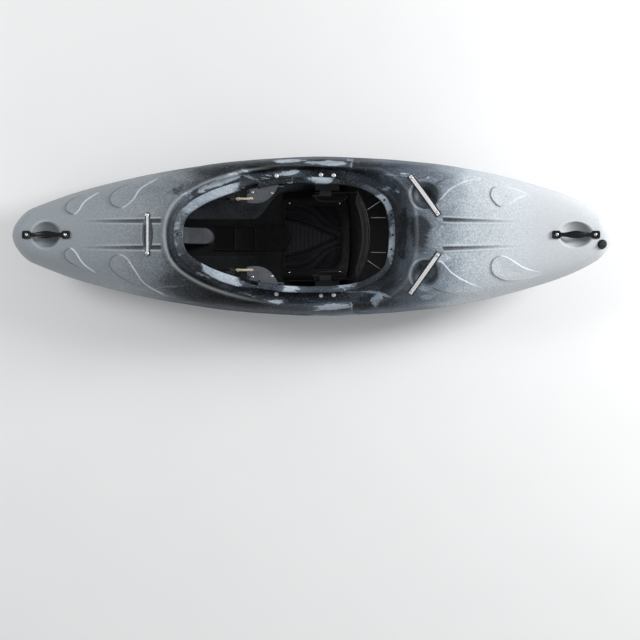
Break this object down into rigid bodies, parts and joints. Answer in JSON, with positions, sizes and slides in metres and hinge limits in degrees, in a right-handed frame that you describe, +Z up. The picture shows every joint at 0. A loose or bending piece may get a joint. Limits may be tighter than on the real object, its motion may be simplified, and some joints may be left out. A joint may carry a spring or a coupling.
{
  "type": "whitewater kayak",
  "caption": "Moulded whitewater kayak with a cockpit coaming, seat, hip pads, thigh braces, sliding footrest, adjustable backband, carrying handles, rescue bars and drain plug.",
  "frame": {"origin": "on the flat of the bottom, under the middle of the hull's length and beam", "axes": "+X to the stern, +Y to starboard, +Z up"},
  "size_m": [2.55, 0.6846, 0.4166],
  "materials": {
    "hull_plastic": "satin, marbled grey",
    "black_plastic": "satin",
    "seat_plastic": "satin",
    "grey_plastic": "satin",
    "foam": "matt closed-cell foam",
    "fabric": "woven",
    "cord": "braided",
    "black_cord": "braided",
    "rubber": "matt",
    "aluminium": "satin",
    "steel": "polished"
  },
  "bodies": {
    "hull": {"hull_shell": "hull_plastic", "front_pillar": "foam", "rear_pillar": "foam", "seat_pan": "seat_plastic", "seat_cushion": "fabric", "bow_handle": "black_plastic", "stern_handle": "black_plastic", "bow_handle_screw_1": "steel", "bow_handle_screw_2": "steel", "stern_handle_screw_1": "steel", "stern_handle_screw_2": "steel", "front_rescue_bar": "aluminium", "drain_socket": "black_plastic", "hip_pad_left": "fabric", "seat_hanger_left": "black_plastic", "thigh_brace_left": "grey_plastic", "brace_bracket_left": "black_plastic", "cord_cleat_left": "black_plastic", "foot_rail_left": "aluminium", "ratchet_body_left": "black_plastic", "backband_elastic_left": "black_cord", "rear_rescue_bar_left": "aluminium", "collar_bolt_left_1": "steel", "collar_bolt_left_2": "steel", "collar_bolt_left_3": "steel", "rail_bolt_left_1": "steel", "rail_bolt_left_2": "steel", "hip_pad_right": "fabric", "seat_hanger_right": "black_plastic", "thigh_brace_right": "grey_plastic", "brace_bracket_right": "black_plastic", "cord_cleat_right": "black_plastic", "foot_rail_right": "aluminium", "ratchet_body_right": "black_plastic", "backband_elastic_right": "black_cord", "rear_rescue_bar_right": "aluminium", "collar_bolt_right_1": "steel", "collar_bolt_right_2": "steel", "collar_bolt_right_3": "steel", "rail_bolt_right_1": "steel", "rail_bolt_right_2": "steel"},
    "footrest": {"foot_plate": "aluminium", "foot_pad_left": "foam", "foot_pad_right": "foam", "foot_arm_left": "aluminium", "foot_arm_right": "aluminium", "footrest_cord_left": "cord", "footrest_cord_right": "cord"},
    "backband": {"backband_shell": "grey_plastic", "backband_pad": "fabric", "backband_strap_left": "black_plastic", "backband_strap_right": "black_plastic"},
    "cam_left": {"cleat_cam_left": "black_plastic"},
    "cam_right": {"cleat_cam_right": "black_plastic"},
    "lever_left": {"ratchet_lever_left": "grey_plastic"},
    "lever_right": {"ratchet_lever_right": "grey_plastic"},
    "seal": {"drain_seal": "rubber"},
    "plug": {"drain_plug": "black_plastic"}
  },
  "joints": [
    {"name": "footrest_slide", "type": "slide", "parent": "hull", "child": "footrest", "axis": [1, 0, 0], "range_m": [0, 0.12]},
    {"name": "backband_slide", "type": "slide", "parent": "hull", "child": "backband", "axis": [1, 0, 0], "range_m": [-0.045, 0.01], "deforming": ["backband_elastic_left", "backband_elastic_right"]},
    {"name": "cleat_cam_turn_left", "type": "hinge", "parent": "hull", "child": "cam_left", "pos_m": [-0.344, -0.15, 0.3668], "axis": [0, -1, 0], "range_deg": [0, 50], "stiffness_Nm_per_rad": 0.01, "springref_deg": -17.19},
    {"name": "cleat_cam_turn_right", "type": "hinge", "parent": "hull", "child": "cam_right", "pos_m": [-0.344, 0.15, 0.3668], "axis": [0, -1, 0], "range_deg": [0, 50], "stiffness_Nm_per_rad": 0.01, "springref_deg": -17.19},
    {"name": "ratchet_lever_turn_left", "type": "hinge", "parent": "hull", "child": "lever_left", "pos_m": [0.056, -0.176, 0.244], "axis": [0, 0, -1], "range_deg": [0, 70]},
    {"name": "ratchet_lever_turn_right", "type": "hinge", "parent": "hull", "child": "lever_right", "pos_m": [0.056, 0.176, 0.244], "axis": [0, 0, 1], "range_deg": [0, 70]},
    {"name": "drain_plug_lift", "type": "slide", "parent": "hull", "child": "seal", "axis": [0.2268, -0.2047, 0.9522], "range_m": [0, 0.012]},
    {"name": "drain_plug_turn", "type": "hinge", "parent": "seal", "child": "plug", "pos_m": [1.22929, -0.04117, 0.3452], "axis": [0.2268, -0.2047, 0.9522], "range_deg": [0, 1440]}
  ],
  "couplings": [
    {"joint": "drain_plug_turn", "follows": "drain_plug_lift", "rad_per_m": 2094.4}
  ]
}
